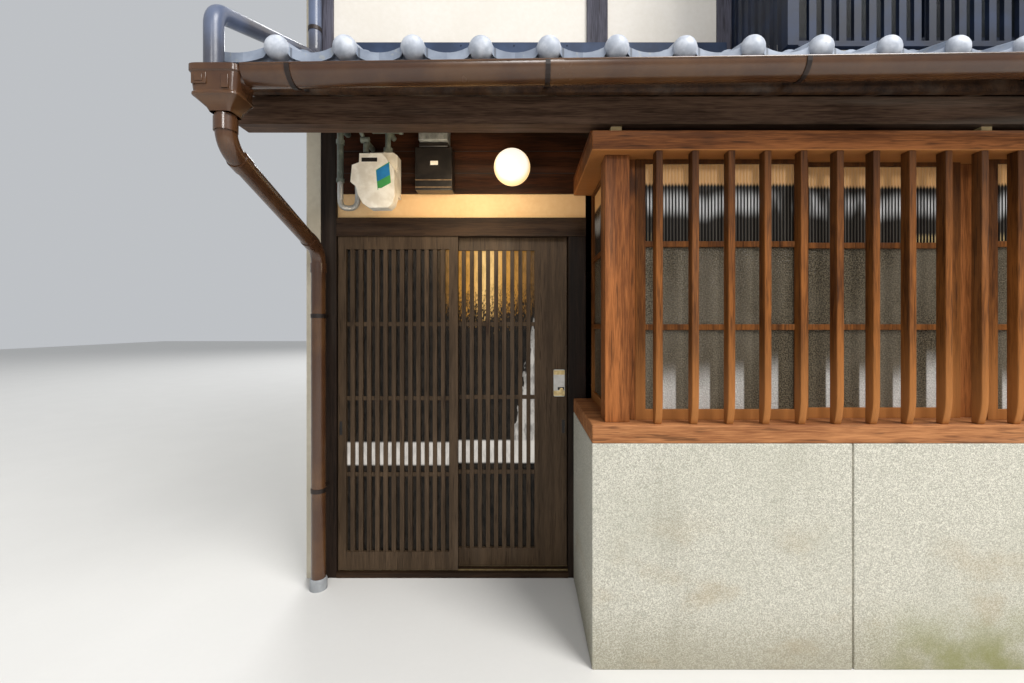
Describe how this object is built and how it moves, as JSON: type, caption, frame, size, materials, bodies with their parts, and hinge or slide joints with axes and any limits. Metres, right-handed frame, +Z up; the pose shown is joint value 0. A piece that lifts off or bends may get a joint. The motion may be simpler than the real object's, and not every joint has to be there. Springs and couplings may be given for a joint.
{
  "type": "machiya townhouse",
  "caption": "Two-storey timber townhouse with sliding lattice doors, a projecting lattice bay window on a stone-washed plinth, a tiled lower eave and a gabled tile roof.",
  "frame": {"origin": "on the ground under the middle of the house's footprint, bay left out", "axes": "+X to the right along the street front, +Y from the street into the house, +Z up"},
  "size_m": [4.96, 9.7663, 7.188],
  "materials": {
    "bay_lattice_timber": "weathered orange-brown timber bars",
    "bay_timber": "weathered orange-brown timber",
    "bracket_metal": "brown painted steel",
    "dark_timber": "dark stained timber, satin",
    "door_glass": "obscured glass",
    "floor_earth": "beaten earth and cement",
    "gutter_brown": "brown moulded plastic, satin",
    "lamp_glass": "lit opal glass",
    "lock_metal": "brushed steel",
    "meter_cream": "cream white enamel",
    "meter_grey": "grey plastic with a clear window",
    "navy_metal": "navy grey painted metal",
    "party_plaster": "plain lime plaster",
    "pipe_metal": "grey painted steel pipe",
    "plaster": "smooth cream plaster",
    "rafter_timber": "brown timber",
    "roof_tile": "smoked grey-blue tile",
    "washed_stone": "washed granite chips",
    "window_glass": "ribbed and hammered glass"
  },
  "bodies": {
    "house": {"bay_cap": "bay_timber", "bay_ceiling": "bay_timber", "bay_end_wall": "party_plaster", "bay_glass": "window_glass", "bay_lattice": "bay_lattice_timber", "bay_plinth": "washed_stone", "bay_posts": "bay_timber", "bay_sashes": "bay_timber", "bay_side_frame": "bay_timber", "bay_sill": "bay_timber", "downpipes": "gutter_brown", "eave_beam": "dark_timber", "electric_meter": "meter_grey", "entrance_boards": "dark_timber", "entrance_head": "dark_timber", "entrance_posts": "dark_timber", "entrance_threshold": "dark_timber", "entry_lamp": "lamp_glass", "gas_meter": "meter_cream", "gas_pipes": "pipe_metal", "ground_floor": "floor_earth", "gutter_brackets": "bracket_metal", "gutters": "gutter_brown", "lower_roofs": "roof_tile", "main_roof": "roof_tile", "party_wall_left": "party_plaster", "party_wall_right": "party_plaster", "rafters": "rafter_timber", "rain_hopper": "gutter_brown", "rear_joinery": "dark_timber", "rear_wall": "plaster", "roof_boards": "rafter_timber", "roof_ridge": "roof_tile", "transom_panel": "plaster", "upper_band": "navy_metal", "upper_floor": "dark_timber", "upper_front_wall": "plaster", "upper_lattice": "navy_metal", "upper_window": "navy_metal", "wall_beams": "dark_timber", "wall_posts": "dark_timber", "window_glass": "window_glass"},
    "left_door": {"front_door_left": "dark_timber", "front_door_left_glass": "door_glass"},
    "right_door": {"door_lock": "lock_metal", "front_door_right": "dark_timber", "front_door_right_glass": "door_glass"}
  },
  "joints": [
    {"name": "left_door_slide", "type": "slide", "parent": "house", "child": "left_door", "axis": [1, 0, 0], "range_m": [0, 0.615]},
    {"name": "right_door_slide", "type": "slide", "parent": "house", "child": "right_door", "axis": [-1, 0, 0], "range_m": [0, 0.615]}
  ]
}
